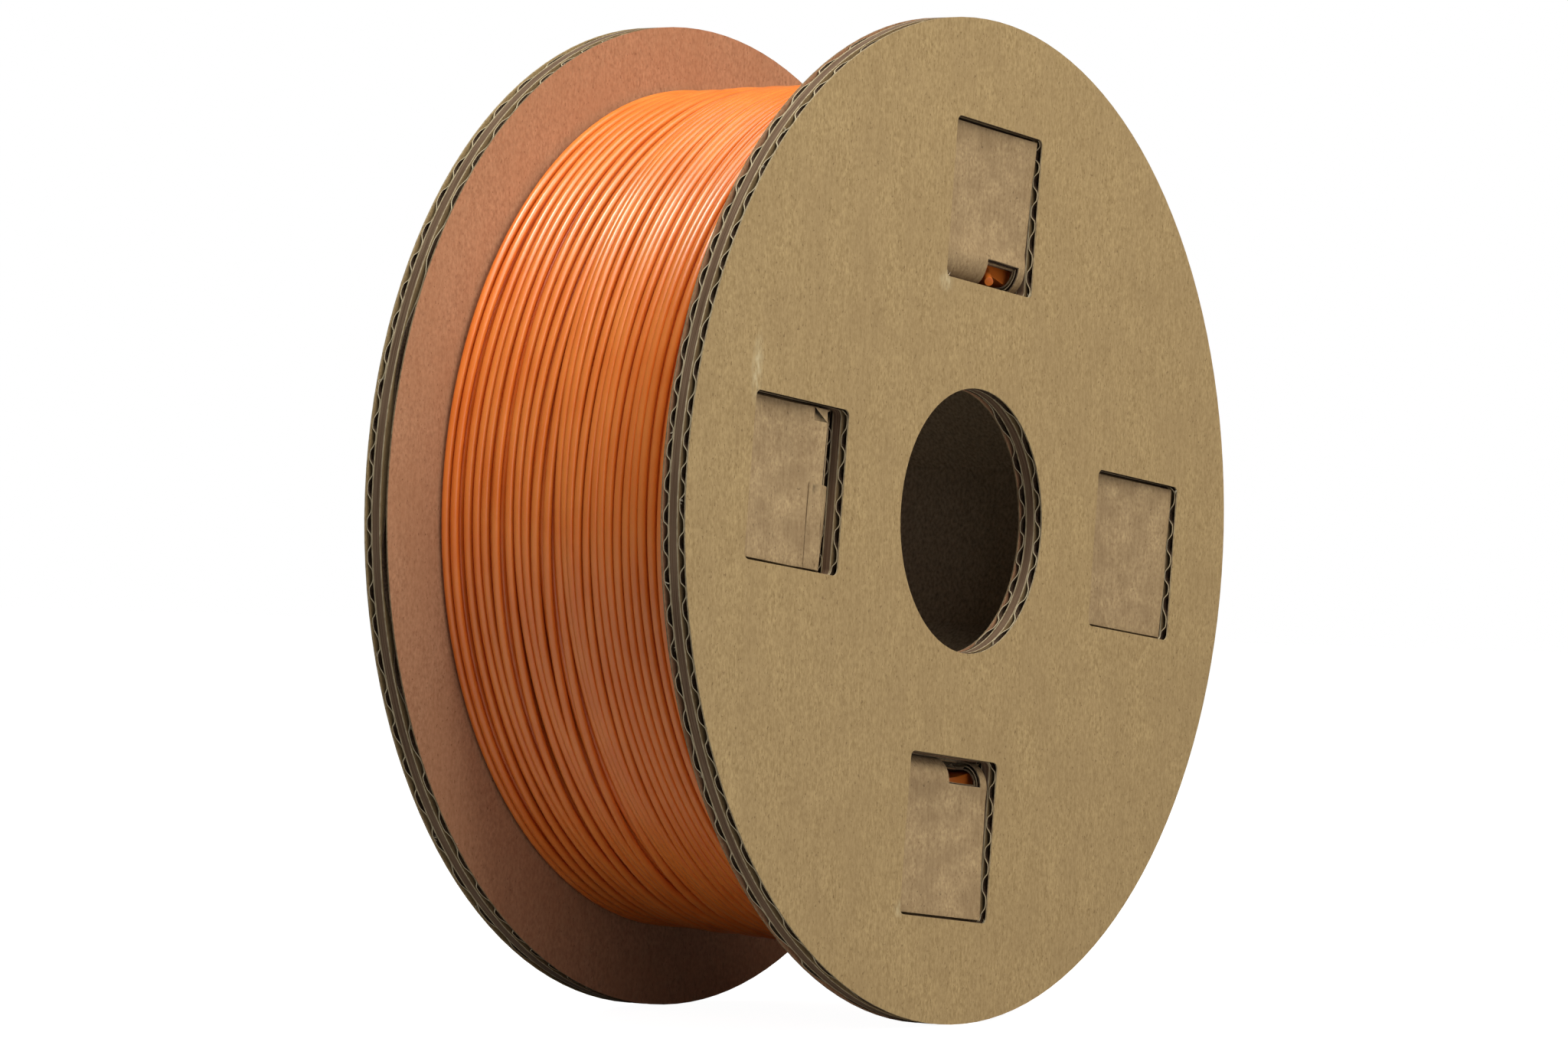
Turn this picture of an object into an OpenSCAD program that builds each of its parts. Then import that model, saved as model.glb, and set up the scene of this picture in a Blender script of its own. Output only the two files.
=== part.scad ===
// Cardboard filament spool: two laminated disc flanges on a folded octagonal hub, wound with filament.
// The spool axis lies along Y, the front flange faces -Y, and Z is up. The origin is the spool's centre.

/* [Flanges] */
// Outside diameter of both flanges
flange_d = 200; // [170:1:260]
// Diameter of the hole through each flange
bore_d = 52.8; // [30:0.1:60]
// Distance between the inner faces of the flanges
inner_w = 64; // [40:1:90]
// Angle that windows, hub and flutes are turned clockwise, seen from the front
pattern_turn = 5.5; // [0:0.1:45]

/* [Flange boards] */
// Thickness of one facing paper of the corrugated discs
paper_t = 0.3; // [0.15:0.05:0.5]
// Height of the flutes between the two papers
flute_h = 1.4; // [1:0.1:3]
// Distance from one flute to the next
flute_pitch = 6.5; // [4:0.1:9]
// Thickness of the fluted paper
medium_t = 0.25; // [0.15:0.05:0.4]
// Thickness of the solid board in the middle of each flange
core_t = 1.6; // [1:0.1:4]

/* [Windows and tabs] */
// Side of the square windows in the core and the outer disc
window_w = 32.2; // [20:0.1:36]
// Distance from the spool axis to the inner edge of a window
window_r = 47; // [40:0.5:56]
// Corner radius of the windows
window_corner = 1.4; // [0.5:0.1:3]
// Gap between a tab and each side of its window
tab_gap = 0.6; // [0.3:0.1:2]
// Outside radius of the fold where a tab leaves the hub
fold_r = 5; // [3:0.1:8]
// Width of the punched hole on the fold of each tab
hole_w = 12; // [6:0.5:14]
// Distance from the middle of a tab to the middle of its hole
hole_shift = 7; // [0:0.5:8]
// How far the punched hole reaches up the tab, from the inner edge of the window
hole_reach = 4; // [2:0.5:8]

/* [Hub board] */
// Thickness of one facing paper of the hub board
hub_paper_t = 0.25; // [0.15:0.05:0.4]
// Height of the flutes in the hub board
hub_flute_h = 1.1; // [0.8:0.1:2]
// Distance from one flute of the hub board to the next, before it is fitted to the panels
hub_pitch = 3.3; // [2:0.1:6]
// Thickness of the fluted paper of the hub board
hub_medium_t = 0.2; // [0.1:0.05:0.3]
// Gap between the two ends of the hub strip where they meet
seam_gap = 0.4; // [0.2:0.1:1]
// Width of the paper tape that closes the seam
tape_w = 24; // [10:1:30]
// Thickness of the paper tape
tape_t = 0.15; // [0.1:0.05:0.2]

/* [Filament] */
// Diameter of the filament
strand_d = 1.75; // [1.75, 2.85]
// Depth of the bare flange rim above the winding at the front
front_rim = 13.2; // [5:0.1:30]
// Depth of the bare flange rim above the winding at the rear
rear_rim = 16.4; // [5:0.1:30]
// Gap between the hub and the winding, left by the flat panels
wind_gap = 0.4; // [0.3:0.1:1]

/* [Hidden] */
$fn = 96;

eps = 0.01;
flange_r = flange_d / 2;
bore_r = bore_d / 2;
half_w = inner_w / 2;
window_end = window_r + window_w;

// heights of the flange layers above the inner face of a flange
board_t = 2 * paper_t + flute_h;
core_z = board_t;
outer_z = board_t + core_t;

// hub board, measured outwards from the panels' inner faces
panel_gap = 0.2;
panel_r = window_r + panel_gap;
hub_t = 2 * hub_paper_t + hub_flute_h;
tab_w = window_w - 2 * tab_gap;
tab_end = window_end - tab_gap;
tab_top = half_w + board_t + hub_t;
fold_z = tab_top - fold_r;
slot_gap = 0.3;
slot_w = panel_gap + fold_r + slot_gap;
crease_v = window_w / 2 + 0.1;

// a panel that carries tabs and the wider panel between two of them
side_r = (panel_r + crease_v) / sqrt(2);
side_v = (panel_r - crease_v) / sqrt(2);
side_grow = tan(22.5);
seam_angle = 225;

// one wave of fluted paper: how far along it, and how high, from -1 to 1
WAVE = [
    [0, 0], [0.14, 0.85], [0.2, 1], [0.3, 1], [0.36, 0.85],
    [0.5, 0], [0.64, -0.85], [0.7, -1], [0.8, -1], [0.86, -0.85]
];
// the tighter waves of the hub board need fewer points
SHORT_WAVE = [[0.05, 0], [0.2, 1], [0.3, 1], [0.45, 0], [0.55, 0], [0.7, -1], [0.8, -1], [0.95, 0]];

// winding
turns = floor(inner_w / strand_d);
turn_pitch = inner_w / turns;
front_wind_r = flange_r - front_rim - strand_d / 2;
rear_wind_r = flange_r - rear_rim - strand_d / 2;
hole_sides = [1, 1, 1, -1];

kraft = "#b29a6c";
kraft_edge = "#c9bb98";
kraft_red = "#a5795a";
chipboard = "#7d6a52";
tab_kraft = "#a8997c";
orange = "#f08432";

// ---- frame -------------------------------------------------------------

// Drawings are made with the spool axis up, front flange on top, then laid down and turned here.
module in_place() {
    rotate([90, 0, 0]) rotate([0, 0, -pattern_turn]) children();
}

// front = 1 stands the flange on the top end of the hub, front = -1 turns it over to the bottom end
module at_end(front) {
    if (front > 0) translate([0, 0, half_w]) children();
    else mirror([0, 0, 1]) translate([0, 0, half_w]) children();
}

// ---- flanges -----------------------------------------------------------

module rounded_square(w, r) {
    union() {
        translate([r, 0]) square([w - 2 * r, w]);
        translate([0, r]) square([w, w - 2 * r]);
        for (x = [r, w - r], y = [r, w - r]) translate([x, y]) circle(r);
    }
}

module window_shape() {
    translate([window_r, -window_w / 2]) rounded_square(window_w, window_corner);
}

module slot_shape() {
    translate([window_r, -window_w / 2]) square([slot_w, window_w]);
}

module disc_outline(slotted) {
    difference() {
        circle(flange_r, $fn = 180);
        circle(bore_r);
        for (k = [0:3]) rotate(90 * k) {
            if (slotted) slot_shape();
            else window_shape();
        }
    }
}

module sheet(z, t, slotted) {
    translate([0, 0, z]) linear_extrude(t) disc_outline(slotted);
}

// one side of a fluted sheet's edge, as points from one end to the other
function wave_edge(len, pitch, h, t, side, wave) = [
    for (i = [0:ceil(len / pitch) - 1], p = wave)
        [-ceil(len / pitch) * pitch / 2 + (i + p[0]) * pitch, p[1] * (h - t) / 2 + side * t / 2]
];

function reversed(list) = [for (i = [len(list) - 1:-1:0]) list[i]];

module wave_section(len, pitch, h, t, wave) {
    polygon(concat(wave_edge(len, pitch, h, t, 1, wave), reversed(wave_edge(len, pitch, h, t, -1, wave))));
}

// fluted sheet: flutes run along X when crossways is false, along Y when it is true
module flutes(z, slotted, crossways) {
    intersection() {
        sheet(z, flute_h, slotted);
        translate([0, 0, z + flute_h / 2])
            rotate([0, 0, crossways ? 90 : 0])
                rotate([90, 0, 90])
                    linear_extrude(flange_d + 2, center = true)
                        wave_section(flange_d + 2 * flute_pitch, flute_pitch, flute_h, medium_t, WAVE);
    }
}

module outer_face_paper(front) {
    color(kraft) in_place() at_end(front) sheet(outer_z + paper_t + flute_h, paper_t, false);
}

module outer_flutes(front) {
    color(kraft_edge) in_place() at_end(front) flutes(outer_z + paper_t, false, false);
}

module outer_back_paper(front) {
    color(kraft_edge) in_place() at_end(front) sheet(outer_z, paper_t, false);
}

module core_board(front) {
    color(chipboard) in_place() at_end(front) sheet(core_z, core_t, false);
}

module inner_back_paper(front) {
    color(kraft_edge) in_place() at_end(front) sheet(paper_t + flute_h, paper_t, true);
}

module inner_flutes(front) {
    color(kraft_edge) in_place() at_end(front) flutes(paper_t, true, front < 0);
}

module inner_face_paper(front) {
    color(kraft_red) in_place() at_end(front) sheet(0, paper_t, true);
}

// ---- hub ---------------------------------------------------------------

// corners of the octagon that lies d outside the panels' inner faces
function octagon(d) = [
    for (k = [0:3], s = [-1, 1])
        let (r = panel_r + d, v = s * (crease_v + d * side_grow))
        [r * cos(90 * k) - v * sin(90 * k), r * sin(90 * k) + v * cos(90 * k)]
];

// a ply of a tab and its fold, as seen from the side: radius across, height up
module tab_side(d1, d2) {
    union() {
        translate([panel_r + fold_r, fold_z]) intersection() {
            difference() {
                circle(fold_r - d1);
                circle(fold_r - d2);
            }
            translate([-fold_r - 1, 0]) square(fold_r + 1);
        }
        translate([panel_r + fold_r - eps, tab_top - d2]) square([tab_end - panel_r - fold_r + eps, d2 - d1]);
    }
}

module each_tab() {
    for (k = [0:3], up = [0, 1]) rotate([0, 0, 90 * k]) mirror([0, 0, up]) children();
}

module tab_plies(d1, d2) {
    each_tab() rotate([90, 0, 0]) linear_extrude(tab_w, center = true) tab_side(d1, d2);
}

// room for the tabs in the panels, from the foot of the fold upwards
module fold_cutouts() {
    each_tab() translate([panel_r - 1, -tab_w / 2, fold_z]) cube([hub_t + 2, tab_w, half_w - fold_z + 1]);
}

module fold_holes() {
    for (k = [0:3], up = [0, 1]) rotate([0, 0, 90 * k]) mirror([0, 0, up])
        translate([panel_r - 1, -hole_sides[k] * hole_shift - hole_w / 2, fold_z - 1])
            cube([hole_reach + 1, hole_w, fold_r + 2]);
}

module seam_cut() {
    rotate([0, 0, seam_angle]) translate([side_r - 2, -seam_gap / 2, -half_w - 1]) cube([6, seam_gap, inner_w + 2]);
}

module hub_paper(d1, d2) {
    difference() {
        union() {
            difference() {
                linear_extrude(inner_w, center = true) difference() {
                    polygon(octagon(d2));
                    polygon(octagon(d1));
                }
                fold_cutouts();
            }
            tab_plies(d1, d2);
        }
        fold_holes();
        seam_cut();
    }
}

// waves fitted between two creases half_v from the panel's middle, flat at both creases
function panel_wave(r, half_v, angle, side) =
    let (n = floor(2 * half_v / hub_pitch), fit = 2 * (half_v - 0.5) / n)
    [
        for (i = [0:n - 1], p = SHORT_WAVE)
            let (v = -half_v + 0.5 + (i + p[0]) * fit)
            let (d = hub_t / 2 + p[1] * (hub_flute_h - hub_medium_t) / 2 + side * hub_medium_t / 2)
            [(r + d) * cos(angle) - v * sin(angle), (r + d) * sin(angle) + v * cos(angle)]
    ];

function hub_wave(side) = [
    for (k = [0:3], p = concat(
        panel_wave(panel_r, crease_v, 90 * k, side),
        panel_wave(side_r, side_v, 90 * k + 45, side)
    )) p
];

module hub_flutes_shape() {
    fold_mid = hub_t / 2;
    difference() {
        union() {
            difference() {
                linear_extrude(inner_w, center = true) difference() {
                    polygon(hub_wave(1));
                    polygon(hub_wave(-1));
                }
                fold_cutouts();
            }
            // the medium is crushed flat in the fold and opens into flutes again on the tab
            each_tab() rotate([90, 0, 0]) linear_extrude(tab_w, center = true) intersection() {
                tab_side(fold_mid - hub_medium_t / 2, fold_mid + hub_medium_t / 2);
                translate([panel_r - 1, 0]) square([fold_r + 1 + 2 * hub_t, tab_top + 1]);
            }
            each_tab() tab_flutes();
        }
        fold_holes();
        seam_cut();
    }
}

module tab_flutes() {
    n = floor(tab_w / hub_pitch);
    translate([panel_r + fold_r + hub_t, 0, tab_top - hub_t / 2])
        rotate([90, 0, 90])
            linear_extrude(tab_end - panel_r - fold_r - hub_t)
                wave_section(tab_w - 0.1, tab_w / n, hub_flute_h, hub_medium_t, SHORT_WAVE);
}

module hub_inside_paper() {
    color(tab_kraft) in_place() hub_paper(0, hub_paper_t);
}

module hub_flutes() {
    color(kraft_edge) in_place() hub_flutes_shape();
}

module hub_outside_paper() {
    color(tab_kraft) in_place() hub_paper(hub_t - hub_paper_t, hub_t);
}

module hub_seam_tape() {
    color(kraft) in_place() rotate([0, 0, seam_angle])
        translate([side_r + hub_t, -tape_w / 2, -half_w + 1]) cube([tape_t, tape_w, inner_w - 2]);
}

// ---- filament ----------------------------------------------------------

function turn_z(i) = -half_w + (i + 0.5) * turn_pitch;

// the winding stands a little higher towards the front
function wind_r(z) = rear_wind_r + (front_wind_r - rear_wind_r) * (z + half_w) / inner_w;

// start end of the filament: from the winding's corner up through the hole of the top front tab
start_v = -hole_sides[1] * hole_shift;
bend_swell = 1.04;
START_PATH = [[54, -3.5, -3.2], [50.2, 0.5, 0.6], [48.6, 3.6, 3.2]];

module strand(a, b) {
    run = b - a;
    length = norm(run);
    translate(a) rotate([0, acos(run[2] / length), atan2(run[1], run[0])]) cylinder(d = strand_d, h = length);
}

function start_point(i) = [
    START_PATH[i][0] - 47 + window_r,
    START_PATH[i][1] + start_v,
    half_w + START_PATH[i][2]
];

module start_end() {
    rotate([0, 0, 90]) {
        for (i = [0:1]) strand(start_point(i), start_point(i + 1));
        translate(start_point(1)) sphere(d = strand_d * bend_swell);
    }
}

module start_pocket() {
    rotate([0, 0, 90]) translate([window_r, start_v - 8, half_w - 6]) cube([10, 16, 7]);
}

module filament_winding() {
    color(orange) in_place() difference() {
        rotate_extrude($fn = 180) {
            union() {
                polygon(concat(
                    [[window_r - 10, half_w - eps], [window_r - 10, -half_w + eps], [wind_r(-half_w), -half_w + eps]],
                    [for (i = [0:turns - 1]) [wind_r(turn_z(i)), turn_z(i)]],
                    [[wind_r(half_w), half_w - eps]]
                ));
                for (i = [0:turns - 1]) translate([wind_r(turn_z(i)), turn_z(i)]) circle(d = strand_d, $fn = 32);
            }
        }
        linear_extrude(inner_w + 2, center = true) polygon(octagon(hub_t + wind_gap));
        start_pocket();
    }
}

module filament_start_end() {
    color(orange) in_place() start_end();
}

// ---- all nodes ---------------------------------------------------------

outer_face_paper(1);  // front_outer_face_paper
outer_flutes(1);  // front_outer_flutes
outer_back_paper(1);  // front_outer_back_paper
core_board(1);  // front_core_board
inner_back_paper(1);  // front_inner_back_paper
inner_flutes(1);  // front_inner_flutes
inner_face_paper(1);  // front_inner_face_paper
outer_face_paper(-1);  // rear_outer_face_paper
outer_flutes(-1);  // rear_outer_flutes
outer_back_paper(-1);  // rear_outer_back_paper
core_board(-1);  // rear_core_board
inner_back_paper(-1);  // rear_inner_back_paper
inner_flutes(-1);  // rear_inner_flutes
inner_face_paper(-1);  // rear_inner_face_paper
hub_inside_paper();
hub_flutes();
hub_outside_paper();
hub_seam_tape();
filament_winding();
filament_start_end();
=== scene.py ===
import math

import bpy
from mathutils import Matrix, Vector, noise


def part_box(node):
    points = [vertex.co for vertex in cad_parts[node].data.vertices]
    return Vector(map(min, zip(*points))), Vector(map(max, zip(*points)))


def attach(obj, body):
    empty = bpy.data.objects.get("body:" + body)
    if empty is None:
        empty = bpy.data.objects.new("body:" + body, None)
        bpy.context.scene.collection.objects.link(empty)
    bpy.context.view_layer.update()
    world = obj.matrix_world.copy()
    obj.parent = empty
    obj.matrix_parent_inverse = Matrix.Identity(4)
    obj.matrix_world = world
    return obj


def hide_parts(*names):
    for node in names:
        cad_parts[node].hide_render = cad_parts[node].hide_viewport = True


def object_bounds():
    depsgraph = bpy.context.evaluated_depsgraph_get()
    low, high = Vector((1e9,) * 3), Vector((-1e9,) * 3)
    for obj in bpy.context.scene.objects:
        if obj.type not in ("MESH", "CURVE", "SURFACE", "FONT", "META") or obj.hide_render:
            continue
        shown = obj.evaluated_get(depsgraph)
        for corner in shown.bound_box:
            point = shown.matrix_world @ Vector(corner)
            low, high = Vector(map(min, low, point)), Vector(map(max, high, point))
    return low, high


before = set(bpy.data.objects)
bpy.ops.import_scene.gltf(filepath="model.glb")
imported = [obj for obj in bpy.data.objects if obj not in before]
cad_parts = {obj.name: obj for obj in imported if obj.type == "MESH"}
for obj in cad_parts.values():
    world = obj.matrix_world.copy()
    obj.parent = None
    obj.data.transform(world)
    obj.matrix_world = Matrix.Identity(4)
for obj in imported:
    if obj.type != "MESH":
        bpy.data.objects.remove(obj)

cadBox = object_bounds()
mm = 0.001

spool = {
    "turn": math.radians(5.5),  # windows, hub and flutes, clockwise from the front
    "windowRadius": 47 * mm,    # spool axis to the inner edge of a window
    "windowWidth": 32.2 * mm,
}
spool["windowEnd"] = spool["windowRadius"] + spool["windowWidth"]


def layerSpan(node):
    low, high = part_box(node)
    return low.y, high.y


def deselectAll():
    if bpy.context.mode != "OBJECT":
        bpy.ops.object.mode_set(mode="OBJECT")
    bpy.ops.object.select_all(action="DESELECT")


def makeActive(obj):
    deselectAll()
    obj.select_set(True)
    bpy.context.view_layer.objects.active = obj


def nameNew(name):
    obj = bpy.context.view_layer.objects.active
    obj.name = name
    obj.data.name = name
    return obj


def applyModifier(obj, kind, **settings):
    makeActive(obj)
    modifier = obj.modifiers.new(kind.lower(), kind)
    for key, value in settings.items():
        setattr(modifier, key, value)
    bpy.ops.object.modifier_apply(modifier=modifier.name)


def settle(obj):  # its place goes into its mesh
    makeActive(obj)
    bpy.ops.object.transform_apply(location=True, rotation=True, scale=True)


def smoothByAngle(obj, degrees):
    makeActive(obj)
    bpy.ops.object.shade_smooth_by_angle(angle=math.radians(degrees))


def fixNormals(obj):
    makeActive(obj)
    bpy.ops.object.mode_set(mode="EDIT")
    bpy.ops.mesh.select_all(action="SELECT")
    bpy.ops.mesh.remove_doubles(threshold=0.002 * mm)
    bpy.ops.mesh.normals_make_consistent(inside=False)
    bpy.ops.object.mode_set(mode="OBJECT")


def removeObject(obj):
    bpy.data.objects.remove(obj, do_unlink=True)


def directionAt(degrees):  # radial and sideways directions on the front, counter-clockwise from +X
    a = math.radians(degrees) - spool["turn"]
    return Vector((math.cos(a), 0, math.sin(a))), Vector((-math.sin(a), 0, math.cos(a)))


def wander(x, y, seed):  # smooth value from -1 to 1
    return noise.noise(Vector((x, y, seed * 7.3)))


def linear(hexCode):
    def channel(c):
        c = c / 255
        return c / 12.92 if c <= 0.04045 else ((c + 0.055) / 1.055) ** 2.4
    return tuple(channel(int(hexCode[i:i + 2], 16)) for i in (1, 3, 5)) + (1,)


def addNode(tree, kind, settings=None, values=None, links=None):
    node = tree.nodes.new(kind)
    for key, value in (settings or {}).items():
        setattr(node, key, value)
    for key, value in (values or {}).items():
        node.inputs[key].default_value = value
    for key, source in (links or {}).items():
        tree.links.new(source, node.inputs[key])
    return node


def newMaterial(name, roughness, ior, specular):
    material = bpy.data.materials.new(name)
    material.use_nodes = True
    tree = material.node_tree
    shader = tree.nodes["Principled BSDF"]
    shader.inputs["Roughness"].default_value = roughness
    shader.inputs["IOR"].default_value = ior
    shader.inputs["Specular IOR Level"].default_value = specular
    return material, tree, shader


def mixColours(tree, factor, a, b, blend="MIX"):
    node = addNode(tree, "ShaderNodeMix", {"data_type": "RGBA", "blend_type": blend})
    for key, value in (("Factor", factor), ("A", a), ("B", b)):
        socket = [s for s in node.inputs if s.name == key and s.enabled][0]
        if isinstance(value, (float, int, tuple)):
            socket.default_value = value
        else:
            tree.links.new(value, socket)
    return [s for s in node.outputs if s.enabled][0]


def scaledPlace(tree, sizes):  # object place in units of the sizes given, so a pattern has real sizes
    where = addNode(tree, "ShaderNodeTexCoord")
    scale = tuple(1 / size for size in sizes)
    return addNode(tree, "ShaderNodeMapping", values={"Scale": scale},
                   links={"Vector": where.outputs["Object"]}).outputs["Vector"]


def noiseOf(tree, sizes, detail=2.0, low=0.3, high=0.7):
    pattern = addNode(tree, "ShaderNodeTexNoise", values={"Scale": 1.0, "Detail": detail},
                      links={"Vector": scaledPlace(tree, sizes)})
    return addNode(tree, "ShaderNodeMapRange", values={"From Min": low, "From Max": high},
                   links={"Value": pattern.outputs["Fac"]}).outputs["Result"]


def flatness(tree):  # 1 on faces across the spool axis, 0 on edges cut along it
    geometry = addNode(tree, "ShaderNodeNewGeometry")
    parts = addNode(tree, "ShaderNodeSeparateXYZ", links={"Vector": geometry.outputs["True Normal"]})
    size = addNode(tree, "ShaderNodeMath", {"operation": "ABSOLUTE"}, links={0: parts.outputs["Y"]})
    return addNode(tree, "ShaderNodeMapRange", values={"From Min": 0.35, "From Max": 0.8},
                   links={"Value": size.outputs[0]}).outputs["Result"]


def addBump(tree, shader, height, distance, strength=1.0):
    bump = addNode(tree, "ShaderNodeBump", values={"Distance": distance, "Strength": strength},
                   links={"Height": height})
    tree.links.new(bump.outputs["Normal"], shader.inputs["Normal"])


# Kraft linerboard, unbleached and calendered: matt, with long fibres, dark shives and pale cut edges.
def kraftLiner(name, values):
    material, tree, shader = newMaterial(name, values["roughness"], 1.5, 0.25)
    fibres = noiseOf(tree, values["fibre"], 3, 0.25, 0.75)
    cloud = noiseOf(tree, values.get("cloudSize", (9 * mm, 9 * mm, 14 * mm)), 3)
    streaks = noiseOf(tree, (0.9 * mm, 0.9 * mm, 9 * mm), 2)
    shives = noiseOf(tree, (0.55 * mm, 0.55 * mm, 0.8 * mm), 1, 0.69, 0.74)
    colour = mixColours(tree, fibres, linear(values["dark"]), linear(values["light"]))
    colour = mixColours(tree, cloud, colour, linear(values["cloud"]))
    cloudMix = colour.node
    scaled = addNode(tree, "ShaderNodeMath", {"operation": "MULTIPLY"}, {1: values["cloudiness"]}, {0: cloud})
    tree.links.new(scaled.outputs[0], [s for s in cloudMix.inputs if s.name == "Factor" and s.enabled][0])
    faint = addNode(tree, "ShaderNodeMath", {"operation": "MULTIPLY"}, {1: 0.25}, {0: streaks})
    colour = mixColours(tree, faint.outputs[0], colour, linear(values["light"]))
    speck = addNode(tree, "ShaderNodeMath", {"operation": "MULTIPLY"}, {1: 0.5}, {0: shives})
    colour = mixColours(tree, speck.outputs[0], colour, linear(values["shive"]))
    edge = mixColours(tree, fibres, linear(values["edgeDark"]), linear(values["edge"]))
    colour = mixColours(tree, flatness(tree), edge, colour)
    tree.links.new(colour, shader.inputs["Base Color"])
    addBump(tree, shader, fibres, 0.03 * mm, 0.5)
    return material


# Fluting medium, recycled paper: its own brown, darkened to near black as painted shade for the shadow inside
# the flute hollows; torn pale where the die cut it.
def flutingPaper(name, values):
    material, tree, shader = newMaterial(name, 0.9, 1.5, 0.2)
    fibres = noiseOf(tree, (0.5 * mm, 0.5 * mm, 0.5 * mm), 3)
    colour = mixColours(tree, fibres, linear(values["dark"]), linear(values["light"]))
    geometry = addNode(tree, "ShaderNodeNewGeometry")
    place = addNode(tree, "ShaderNodeSeparateXYZ", links={"Vector": geometry.outputs["True Normal"]})
    cut = addNode(tree, "ShaderNodeMath", {"operation": "ABSOLUTE"},
                  links={0: place.outputs[values["along"]]})
    cutMask = addNode(tree, "ShaderNodeMapRange", values={"From Min": 0.3, "From Max": 0.5},
                      links={"Value": cut.outputs[0]}).outputs["Result"]
    colour = mixColours(tree, cutMask, colour, linear(values["edge"]))
    tree.links.new(colour, shader.inputs["Base Color"])
    addBump(tree, shader, fibres, 0.05 * mm, 0.5)
    return material


# Solid chipboard, pressed from waste paper: its cut edge shows thin plies and a few pale fibres.
def solidBoard(name, values):
    material, tree, shader = newMaterial(name, 0.88, 1.5, 0.25)
    plies = noiseOf(tree, (14 * mm, 0.22 * mm, 14 * mm), 2)
    patches = noiseOf(tree, (6 * mm, 3 * mm, 6 * mm), 3)
    colour = mixColours(tree, plies, linear(values["dark"]), linear(values["light"]))
    half = addNode(tree, "ShaderNodeMath", {"operation": "MULTIPLY"}, {1: 0.5}, {0: patches})
    colour = mixColours(tree, half.outputs[0], colour, linear(values["patch"]))
    tree.links.new(colour, shader.inputs["Base Color"])
    addBump(tree, shader, plies, 0.06 * mm, 0.6)
    return material


# PLA filament, extruded: satin, slightly translucent, with faint draw lines along the strand.
def extrudedPla(name, values):
    material, tree, shader = newMaterial(name, values["roughness"], 1.46, 1.0)
    tone = noiseOf(tree, (12 * mm, 5 * mm, 12 * mm), 2)
    colour = mixColours(tree, tone, linear(values["deep"]), linear(values["base"]))
    tree.links.new(colour, shader.inputs["Base Color"])
    shader.inputs["Subsurface Weight"].default_value = values["translucency"]
    shader.inputs["Subsurface Radius"].default_value = (1.0, 0.35, 0.1)
    shader.inputs["Subsurface Scale"].default_value = 1.2 * mm
    addBump(tree, shader, noiseOf(tree, (1.5 * mm, 0.4 * mm, 1.5 * mm), 3), 0.01 * mm, 0.5)
    return material


kraftFace = kraftLiner("kraft_linerboard_tan", {
    "dark": "#91784f", "light": "#c5ab7c", "cloud": "#a18860", "cloudiness": 0.6, "shive": "#6a5134",
    "edge": "#c0b08c", "edgeDark": "#84735a", "fibre": (0.45 * mm, 0.45 * mm, 0.9 * mm), "roughness": 0.85})
kraftInner = kraftLiner("kraft_linerboard_red_brown", {
    "dark": "#9c7052", "light": "#c89a76", "cloud": "#b0815e", "cloudiness": 0.5, "shive": "#6a4028",
    "edge": "#a08c6c", "edgeDark": "#67553f", "fibre": (0.6 * mm, 0.6 * mm, 0.9 * mm), "roughness": 0.85})
kraftBack = kraftLiner("kraft_linerboard_glued", {
    "dark": "#7d6748", "light": "#9a825c", "cloud": "#7f6a48", "cloudiness": 0.5, "shive": "#5d4a32",
    "edge": "#cbbd9c", "edgeDark": "#8a7a5e", "fibre": (0.5 * mm, 0.5 * mm, 1.6 * mm), "roughness": 0.88})
kraftHub = kraftLiner("kraft_linerboard_mottled", {
    "dark": "#957a58", "light": "#cdb388", "cloud": "#8f7656", "cloudiness": 0.8, "shive": "#5e4a36",
    "edge": "#a3937a", "edgeDark": "#6e5f4a", "fibre": (0.6 * mm, 0.6 * mm, 0.8 * mm), "roughness": 0.88,
    "cloudSize": (7 * mm, 7 * mm, 5 * mm)})
# The fluting's dark and light colours are painted shade: the paper's brown made near black, standing for the
# shadow inside the flutes.
flutingAcross = flutingPaper("fluting_medium", {
    "dark": "#33271e", "light": "#5a4735", "edge": "#c8bb9c", "along": "X"})
flutingUpright = flutingPaper("fluting_medium_upright", {
    "dark": "#33271e", "light": "#5a4735", "edge": "#c8bb9c", "along": "Z"})
chipboard = solidBoard("solid_chipboard", {"dark": "#54402f", "light": "#86705a", "patch": "#6c5440"})


# Where a tab was pressed in, the top of the paper is rubbed off and pale fibre shows.
def addScuff(material, centre, size, colour):
    tree = material.node_tree
    shader = tree.nodes["Principled BSDF"]
    plain = shader.inputs["Base Color"].links[0].from_socket
    where = addNode(tree, "ShaderNodeTexCoord")
    moved = addNode(tree, "ShaderNodeMapping", {"vector_type": "TEXTURE"},
                    {"Location": centre, "Rotation": (0, spool["turn"], 0), "Scale": size},
                    {"Vector": where.outputs["Object"]})
    away = addNode(tree, "ShaderNodeVectorMath", {"operation": "LENGTH"}, links={0: moved.outputs["Vector"]})
    near = addNode(tree, "ShaderNodeMapRange", values={"From Min": 1.0, "From Max": 0.2},
                   links={"Value": away.outputs["Value"]})
    ragged = noiseOf(tree, (0.8 * mm, 0.8 * mm, 2.2 * mm), 3, 0.35, 0.65)
    mask = addNode(tree, "ShaderNodeMath", {"operation": "MULTIPLY"},
                   links={0: near.outputs["Result"], 1: ragged})
    tree.links.new(mixColours(tree, mask.outputs[0], plain, linear(colour)), shader.inputs["Base Color"])


def windowCorner(k, end, hand):
    radial, side = directionAt(90 * k)
    radius = spool["windowEnd"] if end > 0 else spool["windowRadius"]
    place = radial * radius + side * hand * spool["windowWidth"] / 2
    place.y = cadBox[0][1]
    return place


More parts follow.
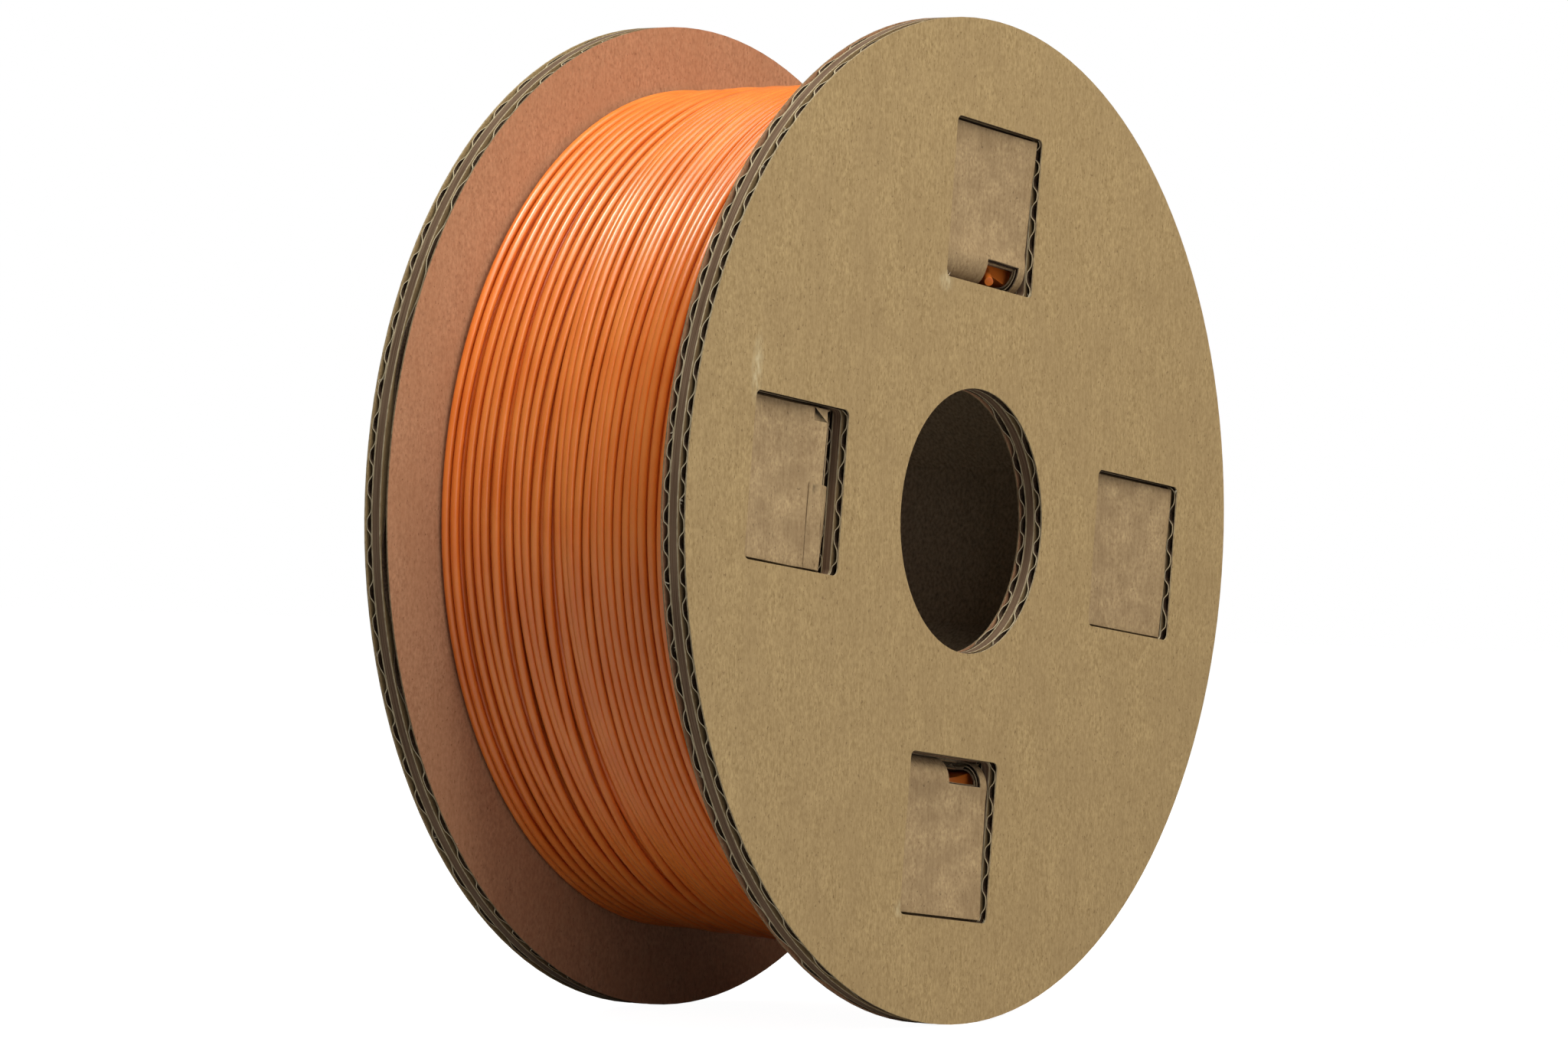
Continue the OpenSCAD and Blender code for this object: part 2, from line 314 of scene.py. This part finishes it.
scuffs = {
    "colour": "#d3c39c",
    "marks": (
        # quarter turn, outer or inner end of the window, which side, how far up, size
        (2, 1, -1, 4 * mm, (2.2 * mm, 9 * mm, 8 * mm)),
        (1, -1, 1, -1 * mm, (3 * mm, 9 * mm, 2.5 * mm)),
        (3, 1, -1, 1 * mm, (2.5 * mm, 9 * mm, 2 * mm)),
    ),
}
for k, end, hand, up, size in scuffs["marks"]:
    addScuff(kraftFace, windowCorner(k, end, hand) + Vector((0, 0, up)), size, scuffs["colour"])
tornPaper = solidBoard("torn_kraft_fibre", {"dark": "#c2b69a", "light": "#e6dcc4", "patch": "#d2c6aa"})
orangePla = extrudedPla("orange_pla", {
    "base": "#f68c38", "deep": "#ee7c28", "roughness": 0.28, "translucency": 0.1})
print("materials made")


# The turns are laid one after another on the layer below, as a winder does: a turn that drifts across
# two turns under it climbs over them, and it sinks where they stand apart.
winding = {
    "strand": 1.75 * mm,
    "steps": 150,           # places round one turn
    "sides": 10,
    "start": math.radians(330),  # both ends of a layer lie behind
    "rearRadius": 83.8 * mm,
    "rise": 3.2 * mm,       # more radius at the front
    "bulge": 3.2 * mm,      # and at the top, where the winding stands out
    "frontBulge": 0.3,      # share of it that is left at the front
    "nesting": 0.97,        # turns press a little into those below
    "spreadStride": 0.83,   # how soon the room between turns changes, in turns
    "driftStride": 0.9,     # and the drift, round the spool
    "driftAlong": 9,        # and along it
    "smoothing": 4,
    "layersDepth": 3.3 * mm,
    "tuck": 1.2 * mm,       # the ends of a strand dive under the turns
    "tuckSteps": 12,
    "drumDepth": 4.2 * mm,  # from the outside down to the solid under the drawn layers
    "drumInside": 51.4 * mm,
    "drumGap": 0.1 * mm,
    "drumSides": 120,
    "layers": (
        # pitch, extra room between some turns, drift along the axis, seed
        (1.80 * mm, 0.02, 0.4 * mm, 3),
        (1.96 * mm, 0.8, 1.0 * mm, 11),
        (2.16 * mm, 1.6, 2.6 * mm, 24),
    ),
}
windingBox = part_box("filament_winding")
windingFront = windingBox[0].y + winding["strand"] / 2
windingRear = windingBox[1].y - winding["strand"] / 2


def roundProfile(y, turn=0.5):  # outer radius; turn is the place round the spool, from 0 to 1
    share = (windingRear - y) / (windingRear - windingFront)
    top = max(0, math.sin(2 * math.pi * turn + winding["start"])) ** 2
    bulge = winding["bulge"] * (1 - (1 - winding["frontBulge"]) * share)
    return winding["rearRadius"] + share * winding["rise"] + bulge * top


def layTurns(pitch, spread, drift, seed, below, ground):
    front, rear = windingFront, windingRear
    count = int((rear - front) / pitch)
    stride = winding["spreadStride"]
    widths = [1 + spread * max(0, wander(j * stride, 0.4, seed)) for j in range(count)]
    total = sum(widths)
    places = [0]
    for w in widths:
        places.append(places[-1] + w / total)
    steps = winding["steps"]
    route = []
    for j in range(count):
        for i in range(steps):
            angle = i / steps
            share = places[j] + (places[j + 1] - places[j]) * angle
            margin = math.sin(math.pi * share) ** 0.5
            turned = 2 * math.pi * angle
            across = math.cos(turned) * winding["driftStride"] + share * winding["driftAlong"]
            y = front + share * (rear - front)
            y += drift * margin * wander(across, math.sin(turned) * winding["driftStride"], seed)
            y = min(max(y, front), rear)
            route.append((y, angle))
    laid = []
    strand = winding["strand"]
    for k, (y, angle) in enumerate(route):
        height = ground(y, angle)
        i = k % steps
        for otherY, otherR in below[i]:
            gap = abs(otherY - y)
            if gap < strand:
                height = max(height, otherR + math.sqrt(strand ** 2 - gap ** 2) * winding["nesting"])
        laid.append((y, angle, height))
    return laid


def byAngle(laid):
    rows = [[] for _ in range(winding["steps"])]
    for k, (y, angle, radius) in enumerate(laid):
        rows[k % winding["steps"]].append((y, radius))
    return rows


def smoothRoute(laid):
    radii = [r for _, _, r in laid]
    for _ in range(winding["smoothing"]):
        radii = [radii[0]] + [
            (radii[k - 1] + 2 * radii[k] + radii[k + 1]) / 4 for k in range(1, len(radii) - 1)
        ] + [radii[-1]]
    return [(y, a, r) for (y, a, _), r in zip(laid, radii)]


def strandMesh(name, laid):
    curve = bpy.data.curves.new(name, "CURVE")
    curve.dimensions = "3D"
    curve.bevel_depth = winding["strand"] / 2
    curve.bevel_resolution = winding["sides"] // 2 - 2
    curve.use_fill_caps = True
    spline = curve.splines.new("POLY")
    spline.points.add(len(laid) - 1)
    for k, (y, angle, radius) in enumerate(laid):
        fromEnd = min(k, len(laid) - 1 - k)
        radius -= winding["tuck"] * max(0, 1 - fromEnd / winding["tuckSteps"])
        a = 2 * math.pi * angle + winding["start"]
        spline.points[k].co = (radius * math.cos(a), y, radius * math.sin(a), 1)
    obj = bpy.data.objects.new(name, curve)
    bpy.context.scene.collection.objects.link(obj)
    makeActive(obj)
    bpy.ops.object.convert(target="MESH")
    obj = bpy.context.view_layer.objects.active
    bpy.ops.object.shade_smooth()
    return obj


def underLayers(y, turn):
    return roundProfile(y, turn) - winding["strand"] / 2 - winding["layersDepth"]


def makeWinding():
    below = [[] for _ in range(winding["steps"])]
    layers = []
    for pitch, spread, drift, seed in winding["layers"]:
        laid = smoothRoute(layTurns(pitch, spread, drift, seed, below, underLayers))
        below = [old + new for old, new in zip(below, byAngle(laid))]
        layers.append(laid)
    short = [roundProfile(y, turn) - winding["strand"] / 2 - radius for y, turn, radius in layers[-1]]
    lift = sum(short) / len(short)  # the last layer stands on the outer radius
    pieces = []
    for number, laid in enumerate(layers):
        raised = [(y, angle, radius + lift) for y, angle, radius in laid]
        pieces.append(strandMesh(f"filament_layer_{number + 1}", raised))
        pieces[-1].data.materials.append(orangePla)
    return pieces


def makeDrum():  # the turns too deep to be seen
    low, high = windingBox
    deselectAll()
    radius = roundProfile(high.y) - winding["drumDepth"]
    bpy.ops.mesh.primitive_cylinder_add(
        vertices=winding["drumSides"], radius=radius, depth=high.y - low.y - winding["drumGap"],
        end_fill_type="NOTHING", rotation=(math.radians(90), 0, 0))
    drum = nameNew("filament_deep_turns")
    settle(drum)
    makeActive(drum)
    bpy.ops.object.mode_set(mode="EDIT")
    bpy.ops.mesh.select_all(action="SELECT")
    bpy.ops.mesh.normals_make_consistent(inside=False)
    bpy.ops.object.mode_set(mode="OBJECT")
    applyModifier(drum, "SOLIDIFY", thickness=radius - winding["drumInside"], offset=-1)
    smoothByAngle(drum, 30)
    drum.data.materials.append(orangePla)
    return drum


filamentPieces = makeWinding() + [makeDrum()]
for piece in filamentPieces:
    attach(piece, "root")
    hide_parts("filament_winding")
print("filament wound")


# One wave of paper between two liners. The waves are uneven and a little crushed, and the rim, the bore and
# the windows cut through them.
fluting = {
    "pitch": 6.5 * mm,
    "paper": 0.2 * mm,
    "steps": 12,        # places along one wave
    "steep": 1.8,       # how upright the walls stand
    "uneven": 0.3,      # how much the waves differ in length
    "crush": 0.45,      # how much height they lose
    "lean": 0.07,
    "strides": (0.71, 0.93, 0.57),  # how soon length, height and lean change, in waves
    "reach": 102 * mm,
    "cutBack": 0.998,   # the paper ends just inside the liners
}


def waveRows(halfHeight, seed):
    rows = []
    across = -fluting["reach"]
    wave = 0
    while across < fluting["reach"]:
        forLength, forHeight, forLean = (wave * stride for stride in fluting["strides"])
        length = fluting["pitch"] * (1 + fluting["uneven"] * wander(forLength, 0.5, seed))
        height = halfHeight * (1 - fluting["crush"] * abs(wander(forHeight, 3.5, seed)))
        lean = fluting["lean"] * wander(forLean, 8.5, seed)
        for step in range(fluting["steps"]):
            share = step / fluting["steps"]
            rise = math.tanh(fluting["steep"] * math.sin(2 * math.pi * share)) / math.tanh(fluting["steep"])
            rows.append((across + length * (share + lean * rise), height * rise))
        across += length
        wave += 1
    return rows


def copyNode(node, name):
    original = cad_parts[node]
    twin = bpy.data.objects.new(name, original.data.copy())
    bpy.context.scene.collection.objects.link(twin)
    fixNormals(twin)
    return twin


def placeBy(obj, matrix):
    obj.matrix_world = matrix
    settle(obj)


def discCutter(liner, low, high):  # the liner's outline, as deep as the fluting
    linerLow, linerHigh = layerSpan(liner)
    cutter = copyNode(liner, "cutter")
    stretch = (high - low) / (linerHigh - linerLow)
    placeBy(cutter, Matrix.Translation((0, (low + high) / 2, 0))
            @ Matrix.Diagonal((fluting["cutBack"], stretch, fluting["cutBack"], 1))
            @ Matrix.Translation((0, -(linerLow + linerHigh) / 2, 0)))
    return cutter


def makeFluting(node, liner, upright, seed):
    low, high = layerSpan(node)
    rows = waveRows((high - low - fluting["paper"]) / 2, seed)
    deselectAll()
    bpy.ops.mesh.primitive_plane_add(size=1)
    sheet = nameNew("wave_" + node)
    bpy.ops.object.mode_set(mode="EDIT")
    bpy.ops.transform.resize(value=(2 * fluting["reach"], rows[1][0] - rows[0][0], 1))
    bpy.ops.transform.translate(value=(0, (rows[0][0] + rows[1][0]) / 2, 0))
    bpy.ops.object.mode_set(mode="OBJECT")
    lead = max(v.co.y for v in sheet.data.vertices)
    for part in (sheet.data.polygons, sheet.data.edges):
        for item in part:
            item.select = False
    for vertex in sheet.data.vertices:
        vertex.select = vertex.co.y > lead - 0.01 * mm
    bpy.ops.object.mode_set(mode="EDIT")
    bpy.ops.mesh.select_mode(type="VERT")
    height = 0
    for k in range(2, len(rows)):  # the sheet grows row by row along the wave
        across, rise = rows[k]
        move = (0, across - rows[k - 1][0], rise - height)
        bpy.ops.mesh.extrude_region_move(TRANSFORM_OT_translate={"value": move})
        height = rise
    bpy.ops.object.mode_set(mode="OBJECT")
    spin = spool["turn"] + (math.radians(90) if upright else 0)
    placeBy(sheet, Matrix.Rotation(spin, 4, "Y") @ Matrix.Translation((0, (low + high) / 2, 0))
            @ Matrix.Rotation(math.radians(90), 4, "X"))
    applyModifier(sheet, "SOLIDIFY", thickness=fluting["paper"], offset=0)
    cutter = discCutter(liner, low, high)
    applyModifier(sheet, "BOOLEAN", operation="INTERSECT", solver="EXACT", object=cutter)
    removeObject(cutter)
    smoothByAngle(sheet, 40)
    sheet.data.materials.clear()
    # the fluting paper's near-black colour is painted shade of the flute hollows
    sheet.data.materials.append(flutingUpright if upright else flutingAcross)
    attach(sheet, "root")
    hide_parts(node)


makeFluting("front_outer_flutes", "front_outer_back_paper", False, 1)
makeFluting("front_inner_flutes", "front_inner_back_paper", False, 2)
makeFluting("rear_outer_flutes", "rear_outer_back_paper", False, 3)
makeFluting("rear_inner_flutes", "rear_inner_back_paper", True, 4)
print("fluting cut")


# The hub's board keeps some spring: the tabs lift at their ends, sag over the fold and twist a little.
tabs = {
    "fromRadius": 46.5 * mm,
    "halfWidth": 16.5 * mm,
    "foot": 30.4 * mm,     # the folds begin here, from the middle of the spool
    "foldEnd": 57 * mm,    # radius where the sag ends
    "foldMiddle": 52.4 * mm,
    "looseEnd": 68 * mm,   # and where the wide bend ends
    "rise": (0.5 * mm, 0.8 * mm, 0.7 * mm, 0.4 * mm),   # right, top, left, bottom
    "sag": (1.2 * mm, 1.8 * mm, 2.6 * mm, 1.4 * mm),
    "loose": (0, 1.5 * mm, 6.5 * mm, 1.0 * mm),         # how much wider the fold bends than it should
    "top": 35.6 * mm,      # the tabs lie here, from the middle of the spool
    "holeEdge": 51.2 * mm,
    "holeEdgeWidth": 0.4 * mm,
    "holeTuck": (1.8 * mm, 0, 5.4 * mm, 0),             # how far the edge of the punched hole is pulled back
    "twist": (0.35 * mm, -0.3 * mm, 0.45 * mm, 0.3 * mm),
    "rumple": 0.35 * mm,
    "rumpleSize": 9 * mm,
    "cuts": 4 * mm,
    "rearShare": 0.15,     # the rear tabs are folded tighter
}


def cutTabs(obj, radial, side, acrossToo):  # more edges, so that the tabs can bend
    planes = []
    radius = tabs["fromRadius"] + tabs["cuts"]
    while radius < spool["windowEnd"]:
        planes.append((radial, radius))
        radius += tabs["cuts"]
    offset = -3 * tabs["cuts"]
    while acrossToo and offset <= 3 * tabs["cuts"]:
        planes.append((side, offset))
        offset += tabs["cuts"]
    for direction, distance in planes:
        makeActive(obj)
        count = len(obj.data.polygons)
        picked = [False] * count
        for polygon in obj.data.polygons:
            c = polygon.center
            picked[polygon.index] = (abs(c.y) > tabs["foot"] and c.dot(radial) > tabs["fromRadius"]
                                     and abs(c.dot(side)) < tabs["halfWidth"])
        obj.data.polygons.foreach_set("select", picked)
        bpy.ops.object.mode_set(mode="EDIT")
        bpy.ops.mesh.select_mode(type="FACE")
        bpy.ops.mesh.bisect(plane_co=direction * distance, plane_no=direction)
        bpy.ops.object.mode_set(mode="OBJECT")


def springTabs(obj):
    for k in range(4):
        radial, side = directionAt(90 * k)
        for vertex in obj.data.vertices:
            c = vertex.co
            r, v = c.dot(radial), c.dot(side)
            if abs(c.y) < tabs["foot"] or r < tabs["fromRadius"] or abs(v) > tabs["halfWidth"]:
                continue
            share = (r - tabs["fromRadius"]) / (spool["windowEnd"] - tabs["fromRadius"])
            lift = tabs["rise"][k] * share ** 2 + tabs["twist"][k] * share * v / tabs["halfWidth"]
            place = r / tabs["rumpleSize"], v / tabs["rumpleSize"]
            lift += tabs["rumple"] * share * wander(*place, k + (5 if c.y > 0 else 0))
            hollow = max(0, (tabs["foldEnd"] - r) / (tabs["foldEnd"] - spool["windowRadius"]))
            belly = 1 + 0.5 * (1 - (v / tabs["halfWidth"]) ** 2)
            ease = 1 if c.y < 0 else tabs["rearShare"]
            lift -= ease * tabs["sag"][k] * hollow ** 2 * belly * 0.75
            height = (abs(c.y) - tabs["foot"]) / (tabs["top"] - tabs["foot"])
            fade = min(1, max(0, (tabs["looseEnd"] - r) / (tabs["looseEnd"] - tabs["foldMiddle"])))
            out = ease * tabs["loose"][k] * min(1, height) ** 1.5 * fade * (0.7 + 0.3 * belly)
            if abs(r - tabs["holeEdge"]) < tabs["holeEdgeWidth"]:
                out -= ease * tabs["holeTuck"][k]
            c += radial * out
            c.y += math.copysign(lift, c.y)


def makeHubPly(node, acrossToo):
    ply = copyNode(node, "sprung_" + node)
    for k in range(4):
        cutTabs(ply, *directionAt(90 * k), acrossToo)
    springTabs(ply)
    smoothByAngle(ply, 30)
    ply.data.materials.clear()
    # the hub's flutes take the fluting paper, whose near-black colour is painted shade
    ply.data.materials.append(kraftHub if acrossToo else flutingAcross)
    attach(ply, "root")
    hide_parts(node)


makeHubPly("hub_inside_paper", True)
makeHubPly("hub_outside_paper", True)
makeHubPly("hub_flutes", False)
print("hub tabs sprung")


# The die tears the papers here and there: short pale ribbons of fibre stand out of the cut edges.
tearing = {
    "ribbon": 0.18 * mm,
    "length": 0.6 * mm,
    "steps": 3,
    "sway": 0.7,           # share of the length that a ribbon bends sideways
    "taper": 0.75,
    "spread": math.radians(150),
    "perTuft": 7,
    "tuftSeeds": (3, 8, 15),
    "tufts": 46,
    "lean": 0.6,           # over the open flutes
    "cornerInset": 0.4 * mm,
    "cornerScale": 0.8,
    "corners": (           # outer or inner end and which side, at each window
        ((1, 1),), ((-1, 1), (-1, -1)), ((1, -1), (1, -1)), ((1, 1),)),
    "thickness": 0.03 * mm,
    "reach": 99.85 * mm,   # nothing passes the flange's rim
    "rootDepth": 0.15 * mm,
    "seed": 5,
}


def makeTuft(seed):  # one tuft at the origin, spreading upwards
    strands = []
    for n in range(tearing["perTuft"]):
        deselectAll()
        bpy.ops.mesh.primitive_plane_add(size=tearing["ribbon"])
        ribbon = nameNew("ribbon")
        for vertex in ribbon.data.vertices:
            vertex.select = vertex.co.y > 0
        for part in (ribbon.data.polygons, ribbon.data.edges):
            for item in part:
                item.select = False
        bpy.ops.object.mode_set(mode="EDIT")
        bpy.ops.mesh.select_mode(type="VERT")
        for step in range(tearing["steps"]):
            sway = tearing["sway"] * tearing["length"] * wander(n * 1.7, step * 1.3, seed)
            bend = tearing["sway"] * tearing["length"] * wander(step * 1.9, n * 2.3, seed + 9)
            move = (sway, tearing["length"] * (0.6 + 0.5 * wander(n, step, seed)), bend)
            bpy.ops.mesh.extrude_region_move(TRANSFORM_OT_translate={"value": move})
            bpy.ops.transform.resize(value=(tearing["taper"],) * 3)
        bpy.ops.object.mode_set(mode="OBJECT")
        spread = tearing["spread"] * wander(n * 2.9, 4.1, seed)
        placeBy(ribbon, Matrix.Rotation(spread, 4, "Z") @ Matrix.Rotation(n * 1.1, 4, "Y"))
        strands.append(ribbon)
    deselectAll()
    for ribbon in strands:
        ribbon.select_set(True)
    bpy.context.view_layer.objects.active = strands[0]
    bpy.ops.object.join()
    return nameNew("tuft")


def placeTuft(tuft, place, outward, scale, twist):
    twin = bpy.data.objects.new("tuft", tuft.data.copy())
    bpy.context.scene.collection.objects.link(twin)
    turn = outward.to_track_quat("Y", "Z").to_matrix().to_4x4()
    placeBy(twin, Matrix.Translation(place) @ turn @ Matrix.Rotation(twist, 4, "Y")
            @ Matrix.Scale(scale, 4))
    return twin


def makeTornFibres():
    tufts = [makeTuft(seed) for seed in tearing["tuftSeeds"]]
    layers = ("front_outer_flutes", "front_inner_flutes", "rear_outer_flutes", "rear_inner_flutes")
    spans = [layerSpan(layer) for layer in layers]
    placed = []
    for n in range(tearing["tufts"]):
        low, high = spans[n % len(spans)]
        angle = 2 * math.pi * (n * 0.618 + 0.1 * wander(n * 1.37, 0.5, tearing["seed"]))
        rim = Vector((math.cos(angle), 0, math.sin(angle)))
        along = Vector((-rim.z, 0, rim.x)) * (1 if n % 3 else -1)
        place = rim * (tearing["reach"] - tearing["rootDepth"]) + Vector((0, low if n % 2 else high, 0))
        scale = 0.7 + 0.5 * abs(wander(n * 0.7, 2.2, tearing["seed"]))
        lean = Vector((0, tearing["lean"] * (1 if n % 2 else -1), 0))
        placed.append(placeTuft(tufts[n % len(tufts)], place, along + lean, scale, n * 2.1))
    for k, corners in enumerate(tearing["corners"]):
        radial, side = directionAt(90 * k)
        for end, hand in corners:
            radius = spool["windowEnd"] if end > 0 else spool["windowRadius"]
            place = radial * radius + side * hand * (spool["windowWidth"] / 2 - tearing["cornerInset"])
            place.y = cadBox[0][1] + 0.1 * mm
            outward = side * -hand + radial * -end * 0.6
            tuft = tufts[k % len(tufts)]
            placed.append(placeTuft(tuft, place, outward, tearing["cornerScale"], k * 1.3))
    for tuft in tufts:
        removeObject(tuft)
    deselectAll()
    for piece in placed:
        piece.select_set(True)
    bpy.context.view_layer.objects.active = placed[0]
    bpy.ops.object.join()
    fibres = nameNew("torn_fibres")
    applyModifier(fibres, "SOLIDIFY", thickness=tearing["thickness"], offset=0)
    for vertex in fibres.data.vertices:  # kept inside the rim and the faces
        radius = math.hypot(vertex.co.x, vertex.co.z)
        if radius > tearing["reach"]:
            vertex.co.x *= tearing["reach"] / radius
            vertex.co.z *= tearing["reach"] / radius
        vertex.co.y = max(min(vertex.co.y, cadBox[1][1]), cadBox[0][1])
    fibres.data.materials.clear()
    fibres.data.materials.append(tornPaper)
    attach(fibres, "root")


makeTornFibres()
print("torn fibres added")


finishes = {
    "outer_face_paper": kraftFace, "outer_back_paper": kraftBack, "core_board": chipboard,
    "inner_back_paper": kraftBack, "inner_face_paper": kraftInner,
}


def setMaterial(obj, material):
    obj.data.materials.clear()
    obj.data.materials.append(material)


for side in ("front", "rear"):
    for part, material in finishes.items():
        setMaterial(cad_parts[f"{side}_{part}"], material)
setMaterial(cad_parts["hub_seam_tape"], kraftHub)
setMaterial(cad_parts["filament_start_end"], orangePla)
print("CAD nodes finished")


studio = {
    "floorSize": 12,
    "floorColour": "#a8a8a8",
    "floorGlow": 0.97,     # the floor and the wall look white, and light the spool much less
    "wallWhite": 1.0,
    "wallLight": 0.13,
    "lights": (
        # name, place, size, power, colour
        ("key_light", (-0.02, -0.52, 0.72), 0.85, 7.6, (1, 0.96, 0.88)),
        ("fill_light", (-0.7, -1.2, 0.15), 0.8, 2.2, (1, 0.9, 0.95)),
        ("top_light", (-0.3, -0.12, 0.95), 0.26, 5.4, (1, 0.98, 0.94)),
        ("back_light", (0.7, 1.3, 0.6), 0.9, 7.0, (1, 1, 1)),
    ),
    "cameraPlace": (-1.0631, -0.70683, -0.00915),
    "cameraLook": (0.83001, 0.55772, 0.00641),
    "cameraUp": (-0.01753, 0.01461, 0.99974),
    "lens": 145.0,
}


def makeFloor():
    deselectAll()
    bpy.ops.mesh.primitive_plane_add(size=studio["floorSize"], location=(0, 0, cadBox[0][2]))
    floor = nameNew("floor")
    settle(floor)
    material, tree, shader = newMaterial("white_floor", 0.8, 1.5, 0.1)
    shader.inputs["Base Color"].default_value = linear(studio["floorColour"])
    shader.inputs["Emission Color"].default_value = (1, 1, 1, 1)
    path = addNode(tree, "ShaderNodeLightPath")
    glow = addNode(tree, "ShaderNodeMath", {"operation": "MULTIPLY"}, {1: studio["floorGlow"]},
                   {0: path.outputs["Is Camera Ray"]})
    tree.links.new(glow.outputs[0], shader.inputs["Emission Strength"])
    floor.data.materials.append(material)


def addArea(name, place, size, power, colour):  # it shines at the spool's middle
    light = bpy.data.lights.new(name, "AREA")
    light.energy = power
    light.size = size
    light.color = colour
    lamp = bpy.data.objects.new(name, light)
    bpy.context.scene.collection.objects.link(lamp)
    lamp.location = place
    lamp.rotation_euler = (-Vector(place)).to_track_quat("-Z", "Y").to_euler()


def makeWorld():
    world = bpy.data.worlds.new("studio_white")
    bpy.context.scene.world = world
    world.use_nodes = True
    tree = world.node_tree
    background = tree.nodes["Background"]
    path = addNode(tree, "ShaderNodeLightPath")
    strength = addNode(tree, "ShaderNodeMapRange",
                       values={"To Min": studio["wallLight"], "To Max": studio["wallWhite"]},
                       links={"Value": path.outputs["Is Camera Ray"]})
    tree.links.new(strength.outputs["Result"], background.inputs["Strength"])
    background.inputs["Color"].default_value = (1, 1, 1, 1)


def makeCamera():
    data = bpy.data.cameras.new("camera")
    data.sensor_width = 36
    data.lens = studio["lens"]
    data.clip_start = 0.01
    data.clip_end = 50
    camera = bpy.data.objects.new("camera", data)
    bpy.context.scene.collection.objects.link(camera)
    look = Vector(studio["cameraLook"]).normalized()
    up = Vector(studio["cameraUp"])
    side = look.cross(up).normalized()
    up = side.cross(look)
    turned = Matrix((side, up, -look)).transposed()
    camera.location = studio["cameraPlace"]
    camera.rotation_euler = turned.to_euler()
    bpy.context.scene.camera = camera


makeFloor()
makeWorld()
for light in studio["lights"]:
    addArea(*light)
bpy.context.scene.view_settings.view_transform = "Standard"
makeCamera()
print("stage set")
